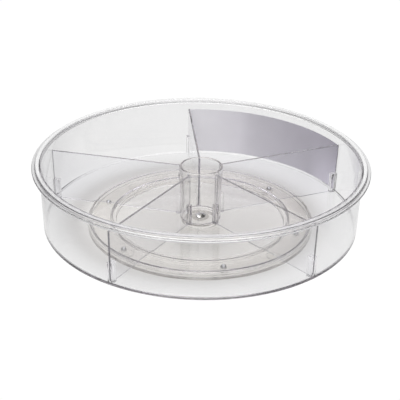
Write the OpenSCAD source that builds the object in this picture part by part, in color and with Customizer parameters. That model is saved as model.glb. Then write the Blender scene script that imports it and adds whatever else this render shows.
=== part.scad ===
// Round divided storage caddy that turns on a ball race.
// Millimetres, +Z up. The origin is on the table, under the centre of the spindle rivet.
// Azimuths are measured from +X, anticlockwise seen from above.

/* [Tray] */
// Outer diameter of the rim flange
rim_d = 350; // [320:1:400]
// Height of the tray from its underside to the top of the rim
tray_h = 70; // [60:1:90]
// Thickness of the side wall
wall_t = 2; // [1.6:0.1:2.6]
// Thickness of the floor
floor_t = 2.5; // [2.2:0.1:3]
// Radial overhang of the rim flange at the bottom of the wall
rim_overhang = 9; // [8:0.5:12]
// How much wider the wall is at the top than at the bottom
wall_draft = 1.3; // [0.5:0.1:2.5]

/* [Centre tube] */
// Outer diameter of the centre tube
tube_d = 45; // [40:1:56]
// Thickness of the tube's wall
tube_t = 2.2; // [1.6:0.1:3]
// Height of the tube above the tray's underside
tube_h = 60.5; // [50:0.5:64]

/* [Dividers] */
// Azimuth of the first divider
divider_turn = 23.5; // [0:0.5:71]
// Thickness of a divider
divider_t = 2; // [1.6:0.1:2.6]
// Height of the dividers' top edge above the tray's underside
divider_top = 58.5; // [45:0.5:60]
// Height of the guide ribs that hold a divider, above the tray's underside
guide_h = 25; // [15:1:35]
// How far a wall guide rib reaches in from the wall
wall_guide_l = 6.5; // [4:0.5:9]
// How far a tube guide rib reaches out from the tube
tube_guide_l = 4.5; // [3:0.5:8]
// Thickness of a guide rib
guide_t = 1.6; // [1.2:0.1:2.2]

/* [Liner card] */
// Thickness of the curved card that lines the wall of one compartment
card_t = 0.6; // [0.4:0.1:1]

/* [Turntable base] */
// Outer diameter of the base plate
base_d = 240; // [230:1:260]
// Thickness of the base plate
base_t = 2.5; // [2:0.1:3]
// Diameter of the circle that the balls run on
race_d = 211; // [205:1:215]
// Diameter of a ball
ball_d = 6; // [5:0.5:7]
// Azimuth of the first ball
ball_turn = 43; // [0:1:59]
// Diameter of a foot pad
foot_d = 15; // [12:1:18]
// How far the feet stand out below the base plate
foot_stand = 1.5; // [1:0.1:2.5]

/* [Spindle rivet] */
// Diameter of the rivet's head
rivet_head_d = 10; // [9:0.5:11]
// Diameter of the rivet's shank
rivet_shank_d = 6; // [5:0.1:6.5]

/* [Hidden] */

$fn = 180;
eps = 0.01;

divider_step = 360 / 5;
ball_step = 360 / 6;
foot_step = 360 / 4;

// Running gaps
race_gap = 0.02;
shank_gap = 0.08;
slot_gap = 0.15;
divider_end_gap = 0.4;
seat_gap = 0.05;

// Heights above the table
base_z = foot_stand;
base_top = base_z + base_t;
groove_depth = 1.2;
tray_z = base_top + ball_d + 2 * race_gap - groove_depth;

// Ball race: two upstanding walls on the base, a shallow groove under the tray
race_r = race_d / 2;
race_wall_t = 2.5;
race_in_r = 92.5;
race_out_r = base_d / 2 - race_wall_t;
race_wall_top = tray_z - 0.8;
groove_in_r = 95.5;
groove_out_r = 116.5;
track_rise = 1.2;
track_in_r = 93.5;
track_out_r = 118.5;
track_edge = 0.8;

// Hub of the base
hub_r = 20.5;
hub_cup_r = 18;
hub_top = tray_z - 0.8;
hub_web_z = hub_top - base_t;

// Feet
foot_seat = 0.5;
foot_edge = 0.6;

// Tray
rim_r = rim_d / 2;
wall_out_low = rim_r - rim_overhang;
wall_out_high = wall_out_low + wall_draft;
wall_in_low = wall_out_low - wall_t;
wall_in_high = wall_out_high - wall_t;
flange_low = tray_h - 4.6;
flange_top = tray_h - 2.5;
bead_out_r = rim_r - 3.2;
bead_r = 1.2;
edge_r = 0.8;
base_corner_r = 1.6;
floor_corner_r = 2;
tray_bore_r = rivet_shank_d / 2 + shank_gap;
rivet_seat_r = rivet_head_d / 2 + 0.8;
rivet_seat_depth = 1;
arc_steps = 6;

// Rivet
rivet_head_z = tray_z + floor_t - rivet_seat_depth + seat_gap;
rivet_head_h = 1.4;
rivet_tail_r = 4.6;
rivet_tail_h = 1;
rivet_washer_r = 7;
rivet_washer_t = 0.6;
thrust_washer_r = 9;

// Liner card
card_gap = 0.3;
card_end_gap = 0.5;
card_top = divider_top - 0.5;

// Ball cage
cage_in_r = 95;
cage_out_r = 115;
cage_t = 3;
ball_pocket_gap = 0.2;

// Points of an arc around (cx, cy), from angle a to angle b
function arc(cx, cy, r, a, b) =
    [for (i = [0:arc_steps]) [cx + r * cos(a + (b - a) * i / arc_steps),
                              cy + r * sin(a + (b - a) * i / arc_steps)]];

// Inner radius of the wall at a height above the tray's underside
function wall_in_at(h) = wall_in_low + wall_draft * h / flange_low;

// Half section of the tray, walked round from the edge of its bore
function tray_section() = concat(
    [[tray_bore_r, 0], [groove_in_r, 0], [groove_in_r, groove_depth]],
    [[groove_out_r, groove_depth], [groove_out_r, 0]],
    arc(wall_out_low - base_corner_r, base_corner_r, base_corner_r, -90, 0),
    [[wall_out_high, flange_low]],
    arc(rim_r - edge_r, flange_low + edge_r, edge_r, -90, 0),
    arc(rim_r - edge_r, flange_top - edge_r, edge_r, 0, 90),
    arc(bead_out_r - bead_r, tray_h - bead_r, bead_r, 0, 90),
    arc(wall_in_high + edge_r, tray_h - edge_r, edge_r, 90, 180),
    arc(wall_in_at(floor_t) - floor_corner_r, floor_t + floor_corner_r, floor_corner_r, 0, -90),
    [[track_out_r, floor_t], [track_out_r - track_edge, floor_t + track_rise]],
    [[track_in_r + track_edge, floor_t + track_rise], [track_in_r, floor_t]],
    [[rivet_seat_r, floor_t], [rivet_seat_r, floor_t - rivet_seat_depth]],
    [[tray_bore_r, floor_t - rivet_seat_depth]]
);

// A flat ring between two radii and two heights
module ring(r_in, r_out, z_low, z_high) {
    translate([0, 0, z_low])
        difference() {
            cylinder(r = r_out, h = z_high - z_low);
            translate([0, 0, -1]) cylinder(r = r_in, h = z_high - z_low + 2);
        }
}

// Two guide ribs that flank a divider, from radius r_from to r_to along +X
module guide_pair(r_from, r_to) {
    slot_half = divider_t / 2 + slot_gap;
    for (side = [-1, 1])
        translate([r_from, side * (slot_half + guide_t / 2) - guide_t / 2, floor_t - eps])
            cube([r_to - r_from, guide_t, guide_h - floor_t + eps]);
}

// The moulded tray: floor, side wall with its rim, centre tube and the divider guides
module tray() {
    wall_root = wall_in_low + 1;
    tube_root = tube_d / 2 - 1;
    color([0.86, 0.87, 0.88, 0.5])
        translate([0, 0, tray_z])
            union() {
                rotate_extrude() polygon(tray_section());
                ring(tube_d / 2 - tube_t, tube_d / 2, floor_t - eps, tube_h);
                for (k = [0:4])
                    rotate([0, 0, divider_turn + k * divider_step]) {
                        guide_pair(wall_in_low - wall_guide_l, wall_root);
                        guide_pair(tube_root, tube_d / 2 + tube_guide_l);
                    }
            }
}

// Divider k: a flat panel from the tube to the wall, notched over the raised ball track
module divider(k) {
    foot = floor_t + seat_gap;
    notch_top = floor_t + track_rise + seat_gap;
    notch_gap = 0.6;
    inner = tube_d / 2 + divider_end_gap;
    outer_low = wall_in_at(floor_t) - floor_corner_r;
    outer_mid = wall_in_at(floor_t + floor_corner_r) - divider_end_gap;
    outer_high = wall_in_at(divider_top) - divider_end_gap;
    color([0.84, 0.85, 0.88, 0.5])
        translate([0, 0, tray_z])
            rotate([0, 0, divider_turn + k * divider_step])
                translate([0, divider_t / 2, 0])
                    rotate([90, 0, 0])
                        linear_extrude(divider_t)
                            polygon([
                                [inner, foot],
                                [track_in_r - notch_gap, foot],
                                [track_in_r - notch_gap, notch_top],
                                [track_out_r + notch_gap, notch_top],
                                [track_out_r + notch_gap, foot],
                                [outer_low, foot],
                                [outer_mid, floor_t + floor_corner_r + divider_end_gap],
                                [outer_high, divider_top],
                                [inner, divider_top]
                            ]);
}

// Curved card that stands against the wall between the first two dividers,
// notched at its lower corners to clear the guide ribs
module liner_card() {
    card_low = floor_t + floor_corner_r + seat_gap;
    back_low = wall_in_at(card_low) - card_gap;
    back_high = wall_in_at(card_top) - card_gap;
    end_turn = asin((divider_t / 2 + card_end_gap) / back_low);
    notch_w = 2 * (divider_t / 2 + slot_gap + guide_t + card_end_gap);
    color([0.75, 0.74, 0.80])
        translate([0, 0, tray_z])
            difference() {
                rotate([0, 0, divider_turn + end_turn])
                    rotate_extrude(angle = divider_step - 2 * end_turn)
                        polygon([
                            [back_low - card_t, card_low],
                            [back_low, card_low],
                            [back_high, card_top],
                            [back_high - card_t, card_top]
                        ]);
                for (k = [0, 1])
                    rotate([0, 0, divider_turn + k * divider_step])
                        translate([back_low - 5, -notch_w / 2, 0])
                            cube([10, notch_w, guide_h + card_end_gap]);
            }
}

// Round base with a hub and the two race walls, and seats for the feet underneath
module base_plate() {
    color([0.86, 0.87, 0.86, 0.5])
        difference() {
            rotate_extrude()
                polygon([
                    [rivet_shank_d / 2, hub_web_z],
                    [hub_cup_r, hub_web_z],
                    [hub_cup_r, base_z],
                    [base_d / 2, base_z],
                    [base_d / 2, race_wall_top],
                    [race_out_r, race_wall_top],
                    [race_out_r, base_top],
                    [race_in_r, base_top],
                    [race_in_r, race_wall_top],
                    [race_in_r - race_wall_t, race_wall_top],
                    [race_in_r - race_wall_t, base_top],
                    [hub_r, base_top],
                    [hub_r, hub_top],
                    [rivet_shank_d / 2, hub_top]
                ]);
            for (k = [0:3])
                rotate([0, 0, (k + 0.5) * foot_step])
                    translate([race_r, 0, base_z - 1])
                        cylinder(d = foot_d + 2 * seat_gap, h = foot_seat + 1, $fn = 64);
        }
}

// Foot pad k, set into a shallow seat under the base plate
module foot(k) {
    color([0.8, 0.8, 0.8, 0.6])
        rotate([0, 0, (k + 0.5) * foot_step])
            translate([race_r, 0, 0])
                rotate_extrude($fn = 64)
                    polygon([
                        [0, 0],
                        [foot_d / 2 - foot_edge, 0],
                        [foot_d / 2, foot_edge],
                        [foot_d / 2, base_z + foot_seat],
                        [0, base_z + foot_seat]
                    ]);
}

// Steel rivet: domed head above the tray's floor, shank through the hub, upset tail below
module spindle_rivet() {
    tail_z = hub_web_z - rivet_washer_t - rivet_tail_h;
    head_rim_h = 0.4;
    dome_h = rivet_head_h - head_rim_h;
    dome_r = (pow(rivet_head_d / 2, 2) + pow(dome_h, 2)) / (2 * dome_h);
    color("silver") {
        translate([0, 0, tail_z])
            cylinder(d = rivet_shank_d, h = rivet_head_z - tail_z + head_rim_h / 2, $fn = 64);
        translate([0, 0, tail_z])
            cylinder(r1 = rivet_tail_r - 0.4, r2 = rivet_tail_r, h = rivet_tail_h, $fn = 64);
        translate([0, 0, rivet_head_z])
            cylinder(d = rivet_head_d, h = head_rim_h, $fn = 64);
        intersection() {
            translate([0, 0, rivet_head_z + head_rim_h + dome_h - dome_r])
                sphere(r = dome_r, $fn = 128);
            translate([0, 0, rivet_head_z + head_rim_h / 2])
                cylinder(d = rivet_head_d, h = rivet_head_h, $fn = 64);
        }
    }
}

// Washer between the rivet's tail and the base plate's hub
module rivet_washer() {
    color("gainsboro")
        ring(rivet_shank_d / 2, rivet_washer_r, hub_web_z - rivet_washer_t, hub_web_z);
}

// Low-friction washer between the hub and the tray
module thrust_washer() {
    color("white")
        ring(rivet_shank_d / 2 + shank_gap, thrust_washer_r, hub_top, tray_z - seat_gap);
}

// Flat ring that keeps the balls evenly spaced
module ball_cage() {
    color([0.88, 0.85, 0.80, 0.6])
        difference() {
            ring(cage_in_r, cage_out_r, base_top + seat_gap, base_top + seat_gap + cage_t);
            for (k = [0:5])
                rotate([0, 0, ball_turn + k * ball_step])
                    translate([race_r, 0, base_top - 1])
                        cylinder(r = ball_d / 2 + ball_pocket_gap, h = cage_t + 3, $fn = 48);
        }
}

// Ball k, resting on the base plate inside its cage pocket
module ball(k) {
    color("lightsteelblue")
        rotate([0, 0, ball_turn + k * ball_step])
            translate([race_r, 0, base_top + race_gap + ball_d / 2])
                sphere(d = ball_d, $fn = 48);
}

base_plate();
foot(0);  // foot_1
foot(1);  // foot_2
foot(2);  // foot_3
foot(3);  // foot_4
spindle_rivet();
rivet_washer();
thrust_washer();
ball_cage();
ball(0);  // ball_1
ball(1);  // ball_2
ball(2);  // ball_3
ball(3);  // ball_4
ball(4);  // ball_5
ball(5);  // ball_6
tray();
divider(0);  // divider_right
divider(1);  // divider_back
divider(2);  // divider_left
divider(3);  // divider_front_left
divider(4);  // divider_front_right
liner_card();
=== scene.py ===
"""Looks for the round divided storage turntable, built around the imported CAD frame.

Sizes and places are in millimetres, and become metres when a mesh, a light or a node is made.
Heights in the outlines of the tray, the dividers and the card count from the tray's underside.
"""
import math

import bmesh
import bpy
import numpy as np
from mathutils import Matrix, Vector


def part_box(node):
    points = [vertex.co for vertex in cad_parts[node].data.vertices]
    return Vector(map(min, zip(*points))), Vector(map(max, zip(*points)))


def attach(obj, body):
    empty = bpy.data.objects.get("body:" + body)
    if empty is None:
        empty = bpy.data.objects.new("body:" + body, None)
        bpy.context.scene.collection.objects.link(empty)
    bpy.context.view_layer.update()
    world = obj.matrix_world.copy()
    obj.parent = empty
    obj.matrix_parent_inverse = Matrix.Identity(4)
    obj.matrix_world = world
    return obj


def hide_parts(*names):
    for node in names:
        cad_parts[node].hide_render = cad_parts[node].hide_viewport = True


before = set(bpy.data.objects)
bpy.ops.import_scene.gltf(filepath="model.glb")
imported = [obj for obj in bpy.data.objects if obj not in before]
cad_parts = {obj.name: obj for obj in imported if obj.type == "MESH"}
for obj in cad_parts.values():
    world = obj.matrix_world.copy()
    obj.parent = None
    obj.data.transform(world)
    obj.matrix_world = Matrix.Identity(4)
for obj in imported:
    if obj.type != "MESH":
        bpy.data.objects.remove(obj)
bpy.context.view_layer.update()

MM = 0.001

DIVIDERS = ["divider_right", "divider_back", "divider_left", "divider_front_left",
            "divider_front_right"]
BALLS = ["ball_%d" % k for k in range(1, 7)]
FEET = ["foot_%d" % k for k in range(1, 5)]


# ---------------------------------------------------------------- sizes read from the CAD boxes
def azimuth_of(node):
    """Direction of a CAD node's centre, seen from the Z axis."""
    low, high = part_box(node)
    return math.atan2(low.y + high.y, low.x + high.x)


tray_lo, tray_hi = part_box("tray")
base_lo, base_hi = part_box("base_plate")
_, divider_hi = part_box("divider_right")
cage_lo, cage_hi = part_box("ball_cage")
rivet_lo, rivet_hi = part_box("spindle_rivet")
card_lo, card_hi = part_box("liner_card")
ball_lo, ball_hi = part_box("ball_1")

TRAY_Z = tray_lo.z / MM
TRAY_H = (tray_hi.z - tray_lo.z) / MM
RIM_R = tray_hi.x / MM
BASE_Z = base_lo.z / MM
BASE_R = base_hi.x / MM
DIVIDER_TOP = divider_hi.z / MM - TRAY_Z
CAGE_Z = cage_lo.z / MM
CAGE_TOP = cage_hi.z / MM
CAGE_R = cage_hi.x / MM
RIVET_TAIL_Z = rivet_lo.z / MM
RIVET_TOP = rivet_hi.z / MM
CARD_TOP = card_hi.z / MM - TRAY_Z
BALL_R = (ball_hi.z - ball_lo.z) / MM / 2
BALL_AZIMUTHS = [azimuth_of(node) for node in BALLS]
RACE_R = math.hypot(ball_lo.x + ball_hi.x, ball_lo.y + ball_hi.y) / 2 / MM

# ---------------------------------------------------------------- sizes that the boxes don't give
# Tray: floor, wall and stepped rim
FLOOR_T = 2.5
WALL_LOW = RIM_R - 9
WALL_HIGH = WALL_LOW + 1.3
WALL_T = 2.0
FLANGE_LOW = TRAY_H - 4.6
FLANGE_TOP = TRAY_H - 2.5
STEP_R = RIM_R - 3.2

# Tray: ball groove under the floor, and the raised track over it
GROOVE_IN = 95.5
GROOVE_OUT = 116.5
GROOVE_DEPTH = 1.2
TRACK_IN = 93.5
TRACK_OUT = 118.5
TRACK_RISE = 1.2
TRACK_SLOPE = 0.8

# Tray: centre tube, the rivet's seat and its bore
TUBE_OUT = 22.5
TUBE_IN = 20.3
TUBE_H = 60.5
SEAT_R = 5.8
SEAT_DEPTH = 1.0
BORE_R = 3.08

# Tray: pairs of ribs that guide the dividers, rooted in the wall, the tube and the floor
GUIDE_H = 25.0
GUIDE_T = 1.6
GUIDE_SLOT = 1.15
GUIDE_ROOT = 1.0
GUIDE_EDGE = 0.35
WALL_GUIDE_IN = WALL_LOW - WALL_T - 6.5
TUBE_GUIDE_OUT = TUBE_OUT + 4.5

# Dividers, and how far they stay from the tray
DIVIDER_T = 2.0
DIVIDER_EDGE = 0.3
DIVIDER_GAP = 0.4
DIVIDER_FOOT_GAP = 0.05
DIVIDER_TRACK_GAP = 0.6
DIVIDER_CORNER = 2.0
DIVIDER_TURN = math.radians(23.5)
DIVIDER_STEP = math.radians(72)

# Liner card, and the steps of its grid
CARD_T = 0.6
CARD_LOW = FLOOR_T + 2.05
CARD_GAP = 0.3
CARD_SIDE_GAP = 0.5
CARD_COLUMNS = 72
CARD_NOTCH_ROWS = 6
CARD_UPPER_ROWS = 9
INWARDS = -1

# Base plate: race walls, hub with a cup under it, and seats for the feet
BASE_T = 2.5
BASE_TOP = BASE_Z + BASE_T
RACE_WALL_T = 2.5
RACE_WALL_IN = 92.5
RACE_WALL_TOP = TRAY_Z - 0.8
HUB_R = 20.5
HUB_CUP_R = 18.0
FOOT_SEAT_R = 7.55
FOOT_SEAT_TOP = BASE_Z + 0.5
FOOT_AZIMUTHS = [math.radians(45 + 90 * k) for k in range(4)]

# Ball cage
CAGE_IN = 95.0
POCKET_GAP = 0.2

# Spindle rivet: domed head, shank, and upset tail with a dimple. The head's edge is given by
# steps outwards and upwards from its lower corner
SHANK_R = 3.0
HEAD_R = 5.0
HEAD_GAP = 0.05
HEAD_EDGE_H = 0.5
HEAD_EDGE = [(-0.12, 0.45), (0, 0.3), (0, 0.1), (-0.1, 0)]
DOME_SHARE = 0.93
DOME_STEPS = 9
TAIL_R = 4.6
TAIL_H = 1.0
TAIL_END_R = 4.2
TAIL_EDGE_H = 0.8
DIMPLE_R = 1.6
DIMPLE_H = 0.5
DIMPLE_EDGE = 0.2

# ---------------------------------------------------------------- fineness of the meshes
TURN_STEPS = 450
RIVET_STEPS = 96
CUTTER_SIDES = 48

# Points this close become one, and a cutter goes this far past the face that it opens
MERGE = 0.0001
CUT_PAST = 1.0

# Rounded corners: step of the arc, angle over which a corner counts as straight, share of an
# edge that one corner may use, and the support points' distance with the least one that counts
ARC_STEP = math.radians(15)
NEARLY_STRAIGHT = math.radians(175)
EDGE_SHARE = 0.48
SUPPORT_GAP = 0.06
LEAST_GAP = 0.01

# Panels: edges over this angle get a round bevel, and a face smaller than a square this many
# bevels wide is shaded as a part of it
BEVEL_ANGLE = math.radians(20)
BEVEL_SEGMENTS = 3
ROUND_PROFILE = 0.5
SMALL_FACE = 3

# Edges over these angles stay sharp
SHARP = math.radians(38)
CARD_SHARP = math.radians(30)


def in_metres(values):
    """Millimetre values turned into metres."""
    return [value * MM for value in values]


# ---------------------------------------------------------------- outlines
def round_corner(before, corner, after):
    """Points of the arc that replaces an (x, y, radius) corner, and a support point on each side."""
    here = np.array(corner[:2], float)
    to_prev = np.array(before[:2], float) - here
    to_next = np.array(after[:2], float) - here
    reach = min(np.linalg.norm(to_prev), np.linalg.norm(to_next)) * EDGE_SHARE
    to_prev /= np.linalg.norm(to_prev)
    to_next /= np.linalg.norm(to_next)
    between = math.acos(max(-1.0, min(1.0, float(to_prev @ to_next))))
    if corner[2] <= 0 or between > NEARLY_STRAIGHT:
        return [tuple(here)]
    tangent = min(corner[2] / math.tan(between / 2), reach)
    radius = tangent * math.tan(between / 2)
    middle = (to_prev + to_next) / np.linalg.norm(to_prev + to_next)
    centre = here + middle * radius / math.sin(between / 2)
    start = here + to_prev * tangent
    end = here + to_next * tangent
    first = math.atan2(*(start - centre)[::-1])
    last = math.atan2(*(end - centre)[::-1])
    turn = (last - first + math.pi) % (2 * math.pi) - math.pi
    count = max(2, math.ceil(abs(turn) / ARC_STEP))
    angles = [first + turn * k / count for k in range(count + 1)]
    arc = [(centre[0] + radius * math.cos(a), centre[1] + radius * math.sin(a)) for a in angles]
    gap = min(SUPPORT_GAP, (reach - tangent) / 2)
    if gap > LEAST_GAP:
        arc = [tuple(start + to_prev * gap), *arc, tuple(end + to_next * gap)]
    return arc


def rounded(corners):
    """Closed outline of (x, y, radius) corners as plain points."""
    points = []
    for k, corner in enumerate(corners):
        points += round_corner(corners[k - 1], corner, corners[(k + 1) % len(corners)])
    return points


def wall_in_at(height):
    """Inner radius of the tray's wall at a height."""
    return WALL_LOW - WALL_T + (WALL_HIGH - WALL_LOW) * height / FLANGE_LOW


# ---------------------------------------------------------------- meshes
def add_object(name, data):
    """A new object in the scene."""
    obj = bpy.data.objects.new(name, data)
    bpy.context.scene.collection.objects.link(obj)
    return obj


def object_from(bm, name):
    """A new object that takes over a bmesh."""
    mesh = bpy.data.meshes.new(name)
    bm.to_mesh(mesh)
    bm.free()
    return add_object(name, mesh)


def smooth(mesh, sharp=SHARP):
    """Shades a mesh smooth apart from its sharp edges."""
    mesh.shade_smooth()
    mesh.set_sharp_from_angle(angle=sharp)


def make_object(name, verts, faces):
    """A smooth-shaded object from millimetre points, with close ones merged and normals out."""
    mesh = bpy.data.meshes.new(name)
    mesh.from_pydata([in_metres(v) for v in verts], [], faces)
    bm = bmesh.new()
    bm.from_mesh(mesh)
    bmesh.ops.remove_doubles(bm, verts=bm.verts, dist=MERGE * MM)
    bmesh.ops.recalc_face_normals(bm, faces=bm.faces)
    bm.to_mesh(mesh)
    bm.free()
    smooth(mesh)
    return add_object(name, mesh)


def revolve(name, outline, z, steps=TURN_STEPS):
    """Turns a closed (r, z) outline round the Z axis."""
    verts = []
    faces = []
    n = len(outline)
    for s in range(steps):
        angle = 2 * math.pi * s / steps
        verts += [(r * math.cos(angle), r * math.sin(angle), z + h) for r, h in outline]
    for s in range(steps):
        a = s * n
        b = (s + 1) % steps * n
        for i in range(n):
            j = (i + 1) % n
            if outline[i][0] > 0 or outline[j][0] > 0:
                faces.append((a + i, b + i, b + j, a + j))
    return make_object(name, verts, faces)


def slab(name, outline, thickness, edge, turn):
    """An upright (r, z) panel in the tray, with rounded edges, turned about Z."""
    bm = bmesh.new()
    front = [bm.verts.new((r, -thickness / 2, TRAY_Z + h)) for r, h in outline]
    back = [bm.verts.new((r, thickness / 2, TRAY_Z + h)) for r, h in outline]
    bm.faces.new(front)
    bm.faces.new(back[::-1])
    for i in range(len(outline)):
        j = (i + 1) % len(outline)
        bm.faces.new((front[i], back[i], back[j], front[j]))
    bmesh.ops.recalc_face_normals(bm, faces=bm.faces)
    edges = [e for e in bm.edges if e.calc_face_angle(0) > BEVEL_ANGLE]
    bmesh.ops.bevel(bm, geom=edges, offset=edge, segments=BEVEL_SEGMENTS,
                    profile=ROUND_PROFILE, affect="EDGES", clamp_overlap=True)
    bmesh.ops.transform(bm, matrix=Matrix.Rotation(turn, 4, "Z"), verts=bm.verts)
    bmesh.ops.scale(bm, vec=(MM, MM, MM), verts=bm.verts)
    for face in bm.faces:
        small = face.calc_area() < (SMALL_FACE * edge * MM) ** 2
        narrow = min(e.calc_length() for e in face.edges) < edge * MM
        face.smooth = small or narrow
    return object_from(bm, name)


def apply_modifiers(obj):
    """Makes the modifiers' result the object's own mesh."""
    bpy.context.view_layer.update()
    evaluated = obj.evaluated_get(bpy.context.evaluated_depsgraph_get())
    done = bpy.data.meshes.new_from_object(evaluated)
    obj.modifiers.clear()
    obj.data = done


def apply_boolean(obj, tool, operation):
    """Adds the tool to obj or cuts it out of obj, and removes the tool."""
    mod = obj.modifiers.new("bool", "BOOLEAN")
    mod.operation = operation
    mod.solver = "MANIFOLD"
    mod.object = tool
    apply_modifiers(obj)
    bpy.data.objects.remove(tool)
    smooth(obj.data)


def join(name, objs):
    """One object that takes over the separate closed shells of objs."""
    bm = bmesh.new()
    for obj in objs:
        bm.from_mesh(obj.data)
        bpy.data.objects.remove(obj)
    return object_from(bm, name)


def race_cutter(azimuth, z0, z1, radius):
    """An upright cylinder centred on the ball race."""
    x = RACE_R * math.cos(azimuth)
    y = RACE_R * math.sin(azimuth)
    turns = np.linspace(0, 2 * math.pi, CUTTER_SIDES, endpoint=False)
    ring = [(x + radius * math.cos(t), y + radius * math.sin(t)) for t in turns]
    n = len(ring)
    verts = [(a, b, z0) for a, b in ring] + [(a, b, z1) for a, b in ring]
    faces = [tuple(range(n))[::-1], tuple(range(n, 2 * n))]
    faces += [(i, (i + 1) % n, n + (i + 1) % n, n + i) for i in range(n)]
    return make_object("cutter", verts, faces)


# ---------------------------------------------------------------- tray
def guide_rib(near, far, side, turn):
    """One rib on the tray's floor, from the near to the far radius, beside a divider's slot."""
    root = FLOOR_T - GUIDE_ROOT
    corners = [(near, root), (far, root), (far, GUIDE_H), (near, GUIDE_H)]
    rib = slab("rib", corners, GUIDE_T, GUIDE_EDGE, 0)
    aside = Matrix.Translation((0, side * (GUIDE_SLOT + GUIDE_T / 2) * MM, 0))
    rib.data.transform(Matrix.Rotation(turn, 4, "Z") @ aside)
    return rib


def build_tray():
    """The clear moulding: floor, wall, stepped rim, centre tube, ball track and guide ribs."""
    outline = rounded([
        (BORE_R, 0, 0.2),
        (GROOVE_IN, 0, 0.3), (GROOVE_IN, GROOVE_DEPTH, 0.35),
        (GROOVE_OUT, GROOVE_DEPTH, 0.35), (GROOVE_OUT, 0, 0.3),
        (WALL_LOW, 0, 1.6), (WALL_HIGH, FLANGE_LOW, 0.7),
        (RIM_R, FLANGE_LOW, 0.8), (RIM_R, FLANGE_TOP, 0.9),
        (STEP_R, FLANGE_TOP, 0.5), (STEP_R, TRAY_H, 1.2),
        (wall_in_at(TRAY_H), TRAY_H, 0.7),
        (wall_in_at(FLOOR_T), FLOOR_T, 2.2),
        (TRACK_OUT, FLOOR_T, 0.4), (TRACK_OUT - TRACK_SLOPE, FLOOR_T + TRACK_RISE, 0.4),
        (TRACK_IN + TRACK_SLOPE, FLOOR_T + TRACK_RISE, 0.4), (TRACK_IN, FLOOR_T, 0.4),
        (TUBE_OUT, FLOOR_T, 0.3), (TUBE_OUT, TUBE_H, 0.8),
        (TUBE_IN, TUBE_H, 0.8), (TUBE_IN, FLOOR_T, 0.4),
        (SEAT_R, FLOOR_T, 0.25), (SEAT_R, FLOOR_T - SEAT_DEPTH, 0.25),
        (BORE_R, FLOOR_T - SEAT_DEPTH, 0.15),
    ])
    tray = revolve("tray_moulding", outline, TRAY_Z)
    at_wall = (WALL_GUIDE_IN, WALL_LOW - WALL_T + GUIDE_ROOT)
    at_tube = (TUBE_OUT - GUIDE_ROOT, TUBE_GUIDE_OUT)
    ribs = []
    for k in range(len(DIVIDERS)):
        turn = DIVIDER_TURN + k * DIVIDER_STEP
        for side in (-1, 1):
            for near, far in (at_wall, at_tube):
                ribs.append(guide_rib(near, far, side, turn))
    apply_boolean(tray, join("ribs", ribs), "UNION")
    return tray


# ---------------------------------------------------------------- dividers
def build_divider(name, k):
    """A flat clear panel that steps over the ball track and clears the wall's rounded foot."""
    foot = FLOOR_T + DIVIDER_FOOT_GAP
    notch_top = foot + TRACK_RISE
    notch_in = TRACK_IN - DIVIDER_TRACK_GAP
    notch_out = TRACK_OUT + DIVIDER_TRACK_GAP
    inner = TUBE_OUT + DIVIDER_GAP
    corner = FLOOR_T + DIVIDER_CORNER
    outline = [
        (inner, foot),
        (notch_in, foot), (notch_in, notch_top),
        (notch_out, notch_top), (notch_out, foot),
        (wall_in_at(FLOOR_T) - DIVIDER_CORNER, foot),
        (wall_in_at(corner) - DIVIDER_GAP, corner + DIVIDER_GAP),
        (wall_in_at(DIVIDER_TOP) - DIVIDER_GAP, DIVIDER_TOP),
        (inner, DIVIDER_TOP),
    ]
    return slab(name, outline, DIVIDER_T, DIVIDER_EDGE, DIVIDER_TURN + k * DIVIDER_STEP)


# ---------------------------------------------------------------- liner card
def card_point(azimuth, height):
    """A point on the card's outer face, which leans with the wall."""
    r = wall_in_at(height) - CARD_GAP
    return r * math.cos(azimuth), r * math.sin(azimuth), TRAY_Z + height


def build_card():
    """A thin curved sheet between the first two dividers.

    Its lower corners clear the guide ribs: the end columns have no faces below the notch's top.
    """
    r_low = wall_in_at(CARD_LOW) - CARD_GAP
    end = math.asin((DIVIDER_T / 2 + CARD_SIDE_GAP) / r_low)
    notch = math.asin((GUIDE_SLOT + GUIDE_T + CARD_SIDE_GAP) / r_low)
    notch_top = GUIDE_H + CARD_SIDE_GAP
    first = DIVIDER_TURN
    last = DIVIDER_TURN + DIVIDER_STEP
    middle = np.linspace(first + notch, last - notch, CARD_COLUMNS + 1)
    columns = [first + end, *middle, last - end]
    lower = np.linspace(CARD_LOW, notch_top, CARD_NOTCH_ROWS + 1)
    upper = np.linspace(notch_top, CARD_TOP, CARD_UPPER_ROWS + 1)
    rows = [*lower, *upper[1:]]
    bm = bmesh.new()
    grid = [[bm.verts.new(card_point(azimuth, height)) for azimuth in columns] for height in rows]
    for i in range(len(rows) - 1):
        for j in range(len(columns) - 1):
            if i >= CARD_NOTCH_ROWS or j not in (0, len(columns) - 2):
                bm.faces.new((grid[i][j], grid[i][j + 1], grid[i + 1][j + 1], grid[i + 1][j]))
    bmesh.ops.delete(bm, geom=[v for v in bm.verts if not v.link_faces], context="VERTS")
    bmesh.ops.recalc_face_normals(bm, faces=bm.faces)
    bm.faces.ensure_lookup_table()
    face = bm.faces[0]
    if face.normal.xy @ face.calc_center_median().xy < 0:
        bmesh.ops.reverse_faces(bm, faces=bm.faces)
    bmesh.ops.scale(bm, vec=(MM, MM, MM), verts=bm.verts)
    card = object_from(bm, "card_liner")
    mod = card.modifiers.new("thick", "SOLIDIFY")
    mod.thickness = CARD_T * MM
    mod.offset = INWARDS
    mod.use_even_offset = True
    apply_modifiers(card)
    smooth(card.data, CARD_SHARP)
    return card


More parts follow.
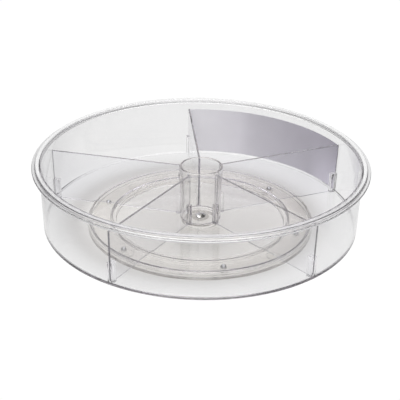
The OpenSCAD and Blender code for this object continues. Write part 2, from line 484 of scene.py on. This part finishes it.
# ---------------------------------------------------------------- base, cage, rivet
def build_base():
    """The clear plate under the tray: two race walls, a hub with a cup under it, and foot seats."""
    web = RACE_WALL_TOP - BASE_T
    outer_in = BASE_R - RACE_WALL_T
    inner_in = RACE_WALL_IN - RACE_WALL_T
    outline = rounded([
        (SHANK_R, web, 0.15), (HUB_CUP_R, web, 0.6), (HUB_CUP_R, BASE_Z, 0.3),
        (BASE_R, BASE_Z, 0.5), (BASE_R, RACE_WALL_TOP, 0.5),
        (outer_in, RACE_WALL_TOP, 0.5), (outer_in, BASE_TOP, 0.6),
        (RACE_WALL_IN, BASE_TOP, 0.6), (RACE_WALL_IN, RACE_WALL_TOP, 0.5),
        (inner_in, RACE_WALL_TOP, 0.5), (inner_in, BASE_TOP, 0.6),
        (HUB_R, BASE_TOP, 0.6), (HUB_R, RACE_WALL_TOP, 0.5), (SHANK_R, RACE_WALL_TOP, 0.15),
    ])
    base = revolve("base_moulding", outline, 0)
    seats = [race_cutter(a, BASE_Z - CUT_PAST, FOOT_SEAT_TOP, FOOT_SEAT_R) for a in FOOT_AZIMUTHS]
    apply_boolean(base, join("cuts", seats), "DIFFERENCE")
    return base


def build_cage():
    """The flat ring that keeps the balls apart."""
    outline = rounded([
        (CAGE_IN, CAGE_Z, 0.4), (CAGE_R, CAGE_Z, 0.4),
        (CAGE_R, CAGE_TOP, 0.5), (CAGE_IN, CAGE_TOP, 0.5),
    ])
    cage = revolve("cage_ring", outline, 0)
    pockets = [race_cutter(a, CAGE_Z - CUT_PAST, CAGE_TOP + CUT_PAST, BALL_R + POCKET_GAP)
               for a in BALL_AZIMUTHS]
    apply_boolean(cage, join("cuts", pockets), "DIFFERENCE")
    return cage


def build_rivet():
    """A domed head with a rounded edge, a shank, and an upset tail with a dimple below."""
    head_z = TRAY_Z + FLOOR_T - SEAT_DEPTH + HEAD_GAP
    dome_h = RIVET_TOP - head_z - HEAD_EDGE_H
    dome = [(0, RIVET_TOP)]
    for k in range(1, DOME_STEPS):
        angle = k / DOME_STEPS * math.pi / 2
        r = HEAD_R * math.sin(angle) * DOME_SHARE
        dome.append((r, RIVET_TOP - dome_h * (1 - math.cos(angle))))
    edge = [(HEAD_R + out, head_z + up) for out, up in HEAD_EDGE]
    tail_top = RIVET_TAIL_Z + TAIL_H
    dimple_top = RIVET_TAIL_Z + DIMPLE_H
    below = [
        (SHANK_R, head_z), (SHANK_R, tail_top), (TAIL_R, tail_top),
        (TAIL_R, RIVET_TAIL_Z + TAIL_EDGE_H), (TAIL_END_R, RIVET_TAIL_Z),
        (DIMPLE_R, RIVET_TAIL_Z), (DIMPLE_R - DIMPLE_EDGE, dimple_top - DIMPLE_EDGE),
        (0, dimple_top),
    ]
    return revolve("rivet_steel", dome + edge + below, 0, RIVET_STEPS)


# ---------------------------------------------------------------- shader nodes
def new_material(name):
    """A material and its node tree, which is still empty."""
    mat = bpy.data.materials.new(name)
    mat.use_nodes = True
    mat.node_tree.nodes.clear()
    return mat, mat.node_tree


def is_output(value):
    """Whether a value for an input is another node's output."""
    return isinstance(value, bpy.types.NodeSocket)


def add_node(tree, kind, inputs=None, **settings):
    """Adds a node. Each of its inputs gets a plain value, or a link from another's output."""
    node = tree.nodes.new(kind)
    for name, value in settings.items():
        setattr(node, name, value)
    for name, value in (inputs or {}).items():
        if is_output(value):
            tree.links.new(value, node.inputs[name])
        else:
            node.inputs[name].default_value = value
    return node


def vector_maths(tree, operation, inputs):
    """One step of arithmetic on vectors. It gives the node, because its outputs differ."""
    return add_node(tree, "ShaderNodeVectorMath", inputs, operation=operation)


def maths(tree, operation, *values):
    """One step of arithmetic on numbers."""
    node = add_node(tree, "ShaderNodeMath", dict(enumerate(values)), operation=operation)
    return node.outputs["Value"]


def object_place(tree):
    """The shaded point in object coordinates, in metres."""
    return add_node(tree, "ShaderNodeTexCoord").outputs["Object"]


def part(tree, vector, axis):
    """The X, Y or Z part of a vector."""
    return add_node(tree, "ShaderNodeSeparateXYZ", {"Vector": vector}).outputs[axis]


def distance_from(tree, place, centre):
    """Distance in metres from a centre in millimetres."""
    node = vector_maths(tree, "DISTANCE", {0: place, 1: in_metres(centre)})
    return node.outputs["Value"]


def scaled(tree, colour, factor):
    """A colour times a number, which may be over 1."""
    return vector_maths(tree, "SCALE", {0: colour, "Scale": factor}).outputs["Vector"]


def map_range(tree, value, span, to=(0, 1), kind="LINEAR"):
    """Maps a span of values to another one, and holds it at both ends."""
    inputs = {"Value": value, "From Min": span[0], "From Max": span[1],
              "To Min": to[0], "To Max": to[1]}
    return add_node(tree, "ShaderNodeMapRange", inputs, interpolation_type=kind).outputs["Result"]


def noise(tree, scale, detail, stretch=None):
    """A noise in object coordinates."""
    place = object_place(tree)
    if stretch:
        mapping = add_node(tree, "ShaderNodeMapping", {"Vector": place, "Scale": stretch})
        place = mapping.outputs["Vector"]
    inputs = {"Vector": place, "Scale": scale, "Detail": detail}
    return add_node(tree, "ShaderNodeTexNoise", inputs).outputs["Fac"]


def spread(tree, grain, low=0, high=1):
    """Maps the middle of a noise to low..high."""
    return map_range(tree, grain, NOISE_MIDDLE, (low, high))


def bump(tree, height, depth):
    """A normal that follows a height, with its depth in millimetres."""
    inputs = {"Height": height, "Strength": 1.0, "Distance": depth * MM}
    return add_node(tree, "ShaderNodeBump", inputs).outputs["Normal"]


def mixed_colour(tree, factor, a, b, blend="MIX"):
    """A mix of two colours. Each is red, green and blue, or another node's output."""
    a, b = [colour if is_output(colour) else (*colour, 1) for colour in (a, b)]
    inputs = {"Factor": factor, "A": a, "B": b}
    mix = add_node(tree, "ShaderNodeMix", inputs, data_type="RGBA", blend_type=blend)
    return mix.outputs["Result"]


def colour_ramp(tree, value, stops, kind="LINEAR"):
    """A colour for each value, by stops of a position and a colour in rising order."""
    node = add_node(tree, "ShaderNodeValToRGB", {"Fac": value})
    ramp = node.color_ramp
    ramp.interpolation = kind
    for element, (position, colour) in zip(ramp.elements, (stops[0], stops[-1])):
        element.position = position
        element.color = (*colour, 1)
    for position, colour in stops[1:-1]:
        ramp.elements.new(position).color = (*colour, 1)
    return node.outputs["Color"]


def grey(value):
    """The grey with this value, which may be over 1."""
    return value, value, value


# ---------------------------------------------------------------- materials
NOISE_MIDDLE = (0.3, 0.7)

# Clear plastic: slow flow waves, and fine polish marks that are drawn out upwards
PLASTIC_IOR = 1.5
FLOW_SCALE = 14
FLOW_DETAIL = 1.5
FLOW_DEPTH = 0.04
MARK_SCALE = 160
MARK_DETAIL = 3
MARK_STRETCH = (1, 1, 0.35)

# Painted highlight: a paler, less clear band on the rim's flat top, by its place between the inner
# edge and the step
RIM_HIGHLIGHT_CLARITY = 0.60
RIM_SLACK = 0.1
RIM_HIGHLIGHT_BAND = [(0.20, 1.0), (0.38, RIM_HIGHLIGHT_CLARITY), (0.72, RIM_HIGHLIGHT_CLARITY), (0.80, 1.0)]

# Metal
METAL_SCALE = 900
METAL_DETAIL = 3
METAL_SHADE = 0.86
METAL_DEPTH = 0.02

# Painted highlight and shade on the rivet: its bright and dark sides, by the X part of the surface's
# normal
RIVET_DEPTH = 0.01
PAINTED_SHEEN_SPAN = (0.10, -0.06)
PAINTED_SHEEN_TONES = (0.25, 3.6)

# Nylon
NYLON_SCALE = 500
NYLON_DETAIL = 4
NYLON_DEPTH = 0.02

# Card: painted shade, as tones along X up to its reach, where the foot and the top end in tones of
# their own
CARD_REACH = RIM_R * 0.89
CARD_SHADE_TONES = [(0.0, 0.85), (0.29, 0.72), (0.36, 0.625), (0.42, 0.59), (0.63, 0.525), (0.80, 0.50)]
CARD_FOOT_SHADE_TONE = 0.90
CARD_TOP_SHADE_TONE = 0.45
CARD_ROUGH = (0.42, 0.58)

# Card: fine fibre and wide faint clouds
FIBRE_SCALE = 1200
FIBRE_DETAIL = 4
FIBRE_DEPTH = 0.01
CLOUD_SCALE = 26
CLOUD_DETAIL = 2
CLOUD_TONE = 0.95


def rim_painted_highlight(tree):
    """How clear the tray is: less clear on the flat top of its rim, where the paler band is a
    painted highlight, and clear elsewhere.
    """
    place = object_place(tree)
    top = (TRAY_Z + TRAY_H) * MM
    on_top = maths(tree, "COMPARE", part(tree, place, "Z"), top, RIM_SLACK * MM)
    level = vector_maths(tree, "MULTIPLY", {0: place, 1: (1, 1, 0)}).outputs["Vector"]
    radius = vector_maths(tree, "LENGTH", {0: level}).outputs["Value"]
    across = map_range(tree, radius, in_metres((wall_in_at(TRAY_H), STEP_R)))
    stops = [(position, grey(value)) for position, value in RIM_HIGHLIGHT_BAND]
    highlight_band = colour_ramp(tree, across, stops)
    mix = add_node(tree, "ShaderNodeMix", {"Factor": on_top, "A": 1.0, "B": highlight_band})
    return mix.outputs["Result"]


def clear_plastic(name, tints, rough, absorb, density, depth=FLOW_DEPTH, ior=PLASTIC_IOR,
                  clarity=None):
    """Clear moulded plastic: tinted glass with faint flow waves, polish marks and absorption.

    It lets a lamp's light straight through. A clarity function adds nodes for how clear it is; on
    the tray, its less clear band is a painted highlight.
    """
    mat, tree = new_material(name)
    flow = noise(tree, FLOW_SCALE, FLOW_DETAIL)
    marks = noise(tree, MARK_SCALE, MARK_DETAIL, MARK_STRETCH)
    colour = mixed_colour(tree, spread(tree, flow), *tints)
    glass = add_node(tree, "ShaderNodeBsdfPrincipled", {
        "Base Color": colour,
        "Roughness": spread(tree, marks, *rough),
        "Transmission Weight": 1.0,
        "IOR": ior,
        "Normal": bump(tree, flow, depth),
    })
    if clarity:
        tree.links.new(clarity(tree), glass.inputs["Transmission Weight"])
    window = add_node(tree, "ShaderNodeBsdfTransparent", {"Color": colour})
    path = add_node(tree, "ShaderNodeLightPath")
    mix = add_node(tree, "ShaderNodeMixShader", {
        "Fac": path.outputs["Is Shadow Ray"],
        1: glass.outputs["BSDF"],
        2: window.outputs["BSDF"],
    })
    volume = add_node(tree, "ShaderNodeVolumeAbsorption", {
        "Color": (*absorb, 1),
        "Density": density,
    })
    add_node(tree, "ShaderNodeOutputMaterial", {
        "Surface": mix.outputs["Shader"],
        "Volume": volume.outputs["Volume"],
    })
    return mat


def opaque(tree, inputs):
    """Ends a material's tree with one opaque surface."""
    body = add_node(tree, "ShaderNodeBsdfPrincipled", inputs)
    add_node(tree, "ShaderNodeOutputMaterial", {"Surface": body.outputs["BSDF"]})


def metal(name, colour, rough, depth=METAL_DEPTH, sheen=None):
    """Bare metal with a fine grain. A sheen function adds nodes for a factor on its tone, which
    paints highlight and shade.
    """
    mat, tree = new_material(name)
    grain = noise(tree, METAL_SCALE, METAL_DETAIL)
    tone = mixed_colour(tree, spread(tree, grain), colour, [c * METAL_SHADE for c in colour])
    if sheen:
        tone = scaled(tree, tone, sheen(tree))
    opaque(tree, {
        "Metallic": 1.0,
        "Base Color": tone,
        "Roughness": spread(tree, grain, *rough),
        "Normal": bump(tree, grain, depth),
    })
    return mat


def rivet_painted_sheen(tree):
    """Painted highlight and shade: bright on the left, on the key lamp's side, and dark on the
    right.
    """
    normal = add_node(tree, "ShaderNodeNewGeometry").outputs["Normal"]
    return map_range(tree, part(tree, normal, "X"), PAINTED_SHEEN_SPAN, PAINTED_SHEEN_TONES, "SMOOTHSTEP")


def nylon(name, colours, rough):
    """Matt nylon with a fine grain."""
    mat, tree = new_material(name)
    grain = noise(tree, NYLON_SCALE, NYLON_DETAIL)
    opaque(tree, {
        "Base Color": mixed_colour(tree, spread(tree, grain), *colours),
        "Roughness": spread(tree, grain, *rough),
        "Normal": bump(tree, grain, NYLON_DEPTH),
    })
    return mat


def lavender(value, position):
    """A grey that turns more lavender towards the card's right end."""
    return value, value * (0.985 - 0.035 * position), value * (1.03 + 0.07 * position)


def card_shade_ramp(tree, along, end_tone):
    """The card's tones of painted shade along X, up to the given one."""
    tones = [*CARD_SHADE_TONES, (1.0, end_tone)]
    stops = [(position, lavender(value, position)) for position, value in tones]
    return colour_ramp(tree, along, stops)


def card_material(name):
    """Coated card, lavender grey, with painted shade that darkens it towards its right end and its
    top, and a faint fibre.
    """
    mat, tree = new_material(name)
    place = object_place(tree)
    along = map_range(tree, part(tree, place, "X"), (0, CARD_REACH * MM))
    height = map_range(tree, part(tree, place, "Z"), (card_lo.z, card_hi.z))
    foot = card_shade_ramp(tree, along, CARD_FOOT_SHADE_TONE)
    top = card_shade_ramp(tree, along, CARD_TOP_SHADE_TONE)
    painted_shade = mixed_colour(tree, height, foot, top)
    cloud = spread(tree, noise(tree, CLOUD_SCALE, CLOUD_DETAIL))
    clouds = mixed_colour(tree, cloud, grey(CLOUD_TONE), grey(1))
    fibre = noise(tree, FIBRE_SCALE, FIBRE_DETAIL)
    opaque(tree, {
        "Base Color": mixed_colour(tree, 1.0, painted_shade, clouds, "MULTIPLY"),
        "Roughness": spread(tree, fibre, *CARD_ROUGH),
        "Normal": bump(tree, fibre, FIBRE_DEPTH),
    })
    return mat


TRAY_CLEAR = clear_plastic(
    "tray_clear", tints=((0.975, 0.975, 0.975), (0.96, 0.96, 0.962)), rough=(0.02, 0.06),
    absorb=(0.46, 0.43, 0.48), density=12.5, clarity=rim_painted_highlight)
DIVIDER_CLEAR = clear_plastic(
    "divider_clear", tints=((0.97, 0.97, 0.98), (0.955, 0.955, 0.97)), rough=(0.004, 0.03),
    absorb=(0.46, 0.43, 0.50), density=12.0)
BASE_CLEAR = clear_plastic(
    "base_clear", tints=((0.985, 0.978, 0.965), (0.975, 0.965, 0.95)), rough=(0.01, 0.06),
    absorb=(0.50, 0.46, 0.42), density=6.0)
CAGE_CLEAR = clear_plastic(
    "cage_clear", tints=((0.985, 0.975, 0.96), (0.97, 0.96, 0.945)), rough=(0.02, 0.08),
    absorb=(0.55, 0.50, 0.44), density=5.0)
FOOT_CLEAR = clear_plastic(
    "foot_clear", tints=((0.98, 0.98, 0.97), (0.96, 0.96, 0.95)), rough=(0.15, 0.3),
    absorb=(0.5, 0.5, 0.5), density=6.0, depth=0.02, ior=1.2)
BALL_STEEL = metal("ball_steel", (0.62, 0.62, 0.64), rough=(0.04, 0.12))
WASHER_STEEL = metal("washer_steel", (0.66, 0.66, 0.67), rough=(0.25, 0.4))
RIVET_STEEL = metal(
    "rivet_steel", (0.35, 0.34, 0.32), rough=(0.06, 0.14), depth=RIVET_DEPTH, sheen=rivet_painted_sheen)
WASHER_NYLON = nylon(
    "washer_nylon", colours=((0.66, 0.63, 0.59), (0.60, 0.57, 0.53)), rough=(0.4, 0.55))
CARD = card_material("card_coated")


# ---------------------------------------------------------------- the object
def dress(obj, mat, body, node):
    """Gives a new piece its finish and its body, and hides the CAD node that it stands for."""
    obj.data.materials.clear()
    obj.data.materials.append(mat)
    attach(obj, body)
    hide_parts(node)


def refinish(node, mat):
    """Gives a CAD node that stays in view a procedural finish."""
    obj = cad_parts[node]
    if not obj.material_slots:
        obj.data.materials.append(mat)
    for slot in obj.material_slots:
        slot.link = "OBJECT"
        slot.material = mat
    smooth(obj.data)


dress(build_tray(), TRAY_CLEAR, "tray", "tray")
for k, node in enumerate(DIVIDERS):
    panel = build_divider(node.replace("divider", "panel"), k)
    dress(panel, DIVIDER_CLEAR, node, node)
dress(build_card(), CARD, "liner_card", "liner_card")
dress(build_base(), BASE_CLEAR, "base", "base_plate")
dress(build_cage(), CAGE_CLEAR, "cage", "ball_cage")
dress(build_rivet(), RIVET_STEEL, "base", "spindle_rivet")
for node in BALLS:
    refinish(node, BALL_STEEL)
for node in FEET:
    refinish(node, FOOT_CLEAR)
refinish("rivet_washer", WASHER_STEEL)
refinish("thrust_washer", WASHER_NYLON)

# ---------------------------------------------------------------- floor, light and camera
# The camera sees a plain white floor and surround. All other rays see the tones below
PLAIN_WHITE = 1.02
BACKDROP = 0.885

# Floor: tones by the distance from a centre, as a share of the reach, with a shadow ring
FLOOR_HALF = 12000
FLOOR_DROP = 0.5
SHADOW_CENTRE = (-8, 14, 0)
SHADOW_REACH = BASE_R * 1.5
SHADOW_TONES = [
    (0.0, (0.84, 0.815, 0.79)), (0.10, (0.88, 0.86, 0.835)), (0.24, (0.92, 0.905, 0.885)),
    (0.50, (0.91, 0.895, 0.875)), (0.60, (1.02, 1.0, 0.98)), (0.70, (0.62, 0.605, 0.59)),
    (0.78, (0.84, 0.835, 0.83)), (0.88, (0.99, 0.99, 0.99)), (1.0, grey(BACKDROP)),
]

# Floor: a shade in front of the hub
HUB_SHADOW_CENTRE = (0, -36, 0)
HUB_SHADOW_R = 46
HUB_SHADOW_TONE = 0.74

# Floor: painted shade, darker far out at the sides, and at the front
FLOOR_FLAG = (140, 400)
FLOOR_FLAG_SHIFT = 20
FLOOR_FLAG_TONE = 0.28
FRONT_FALL = (-320, -170)
FRONT_FALL_TONE = 0.30

# Surround: tones by the upward part of the direction, with a bright ring overhead, and
# darker by its sideways part
WORLD_TONES = [
    (0.0, BACKDROP), (0.12, BACKDROP), (0.34, 0.60), (0.55, 0.60), (0.70, 1.5), (0.80, 2.7),
    (0.93, 2.5), (0.98, 0.6), (1.0, 0.5),
]
WORLD_FLAG = (0.34, 0.64)
WORLD_FLAG_TONE = 0.02

LAMP_PLACE = (-800, -900, 1500)
LAMP_SIZE = 900
LAMP_WATTS = 14

CAMERA_DISTANCE = 1049.8
CAMERA_ELEVATION = math.radians(27.898)
CAMERA_ROLL = 0.0205
CAMERA_LENS = 88.03
CAMERA_SENSOR = 36
CAMERA_SHIFT = (-0.0006, 0.04165)
CAMERA_CLIP = (50, 60000)

# Light crosses many plastic faces before it reaches the camera
LIGHT_BOUNCES = 128
TRANSPARENT_BOUNCES = 64


def side_flags(tree, across, tone, span, darkest):
    """Darkens a tone to the left and right, as black flags beside the set do."""
    flag = map_range(tree, maths(tree, "ABSOLUTE", across), span, (1, darkest), "SMOOTHSTEP")
    return scaled(tree, tone, flag)


def plain_to_camera(tree, tone):
    """Plain white for the camera's own rays, and the tone for all others."""
    path = add_node(tree, "ShaderNodeLightPath")
    return mixed_colour(tree, path.outputs["Is Camera Ray"], tone, grey(PLAIN_WHITE))


def floor_tone(tree):
    """The floor as the plastic sees it."""
    place = object_place(tree)
    ring = map_range(tree, distance_from(tree, place, SHADOW_CENTRE), in_metres((0, SHADOW_REACH)))
    tone = colour_ramp(tree, ring, SHADOW_TONES, "B_SPLINE")
    hub = map_range(tree, distance_from(tree, place, HUB_SHADOW_CENTRE),
                    in_metres((0, HUB_SHADOW_R)), (HUB_SHADOW_TONE, 1), "SMOOTHSTEP")
    tone = scaled(tree, tone, hub)
    across = maths(tree, "SUBTRACT", part(tree, place, "X"), FLOOR_FLAG_SHIFT * MM)
    tone = side_flags(tree, across, tone, in_metres(FLOOR_FLAG), FLOOR_FLAG_TONE)
    front = map_range(tree, part(tree, place, "Y"), in_metres(FRONT_FALL),
                      (FRONT_FALL_TONE, 1), "SMOOTHSTEP")
    return scaled(tree, tone, front)


def build_floor():
    """A large flat floor that glows. It is plain white to the camera, so it shows no shadow."""
    half = FLOOR_HALF * MM
    corners = [(-half, -half, 0), (half, -half, 0), (half, half, 0), (-half, half, 0)]
    mesh = bpy.data.meshes.new("floor")
    mesh.from_pydata(corners, [], [(0, 1, 2, 3)])
    mat, tree = new_material("pale_floor")
    glow = add_node(tree, "ShaderNodeEmission", {"Color": plain_to_camera(tree, floor_tone(tree))})
    add_node(tree, "ShaderNodeOutputMaterial", {"Surface": glow.outputs["Emission"]})
    mesh.materials.append(mat)
    floor = add_object("floor", mesh)
    floor.location.z = -FLOOR_DROP * MM


def build_world():
    """The surround: the backdrop's tone at the horizon, bright overhead, dark at both sides."""
    world = bpy.data.worlds.new("studio")
    world.use_nodes = True
    bpy.context.scene.world = world
    tree = world.node_tree
    tree.nodes.clear()
    direction = add_node(tree, "ShaderNodeTexCoord").outputs["Generated"]
    stops = [(height, grey(value)) for height, value in WORLD_TONES]
    tone = colour_ramp(tree, part(tree, direction, "Z"), stops)
    tone = side_flags(tree, part(tree, direction, "X"), tone, WORLD_FLAG, WORLD_FLAG_TONE)
    back = add_node(tree, "ShaderNodeBackground", {"Color": plain_to_camera(tree, tone)})
    add_node(tree, "ShaderNodeOutputWorld", {"Surface": back.outputs["Background"]})


def build_lamp():
    """A large soft lamp aimed at the tray. Rays that reflect or pass through don't see it."""
    data = bpy.data.lights.new("key_lamp", "AREA")
    data.shape = "DISK"
    data.size = LAMP_SIZE * MM
    data.energy = LAMP_WATTS
    lamp = add_object("key_lamp", data)
    lamp.visible_glossy = False
    lamp.visible_transmission = False
    lamp.location = in_metres(LAMP_PLACE)
    lamp.rotation_euler = (-Vector(LAMP_PLACE)).to_track_quat("-Z", "Y").to_euler()


def build_camera():
    """Looks along +Y and down at the middle of the tray's underside, with a slight roll."""
    data = bpy.data.cameras.new("camera")
    data.sensor_width = CAMERA_SENSOR
    data.lens = CAMERA_LENS
    data.shift_x, data.shift_y = CAMERA_SHIFT
    data.clip_start, data.clip_end = in_metres(CAMERA_CLIP)
    camera = add_object("camera", data)
    back = Vector((0, -math.cos(CAMERA_ELEVATION), math.sin(CAMERA_ELEVATION)))
    camera.location = Vector((0, 0, TRAY_Z * MM)) + back * (CAMERA_DISTANCE * MM)
    look = (-back).to_track_quat("-Z", "Y").to_matrix().to_4x4()
    camera.rotation_euler = (look @ Matrix.Rotation(CAMERA_ROLL, 4, "Z")).to_euler()
    bpy.context.scene.camera = camera


build_floor()
build_world()
build_lamp()
build_camera()
bpy.context.scene.view_settings.view_transform = "Standard"
bpy.context.scene.cycles.max_bounces = LIGHT_BOUNCES
bpy.context.scene.cycles.transmission_bounces = LIGHT_BOUNCES
bpy.context.scene.cycles.glossy_bounces = LIGHT_BOUNCES
bpy.context.scene.cycles.transparent_max_bounces = TRANSPARENT_BOUNCES
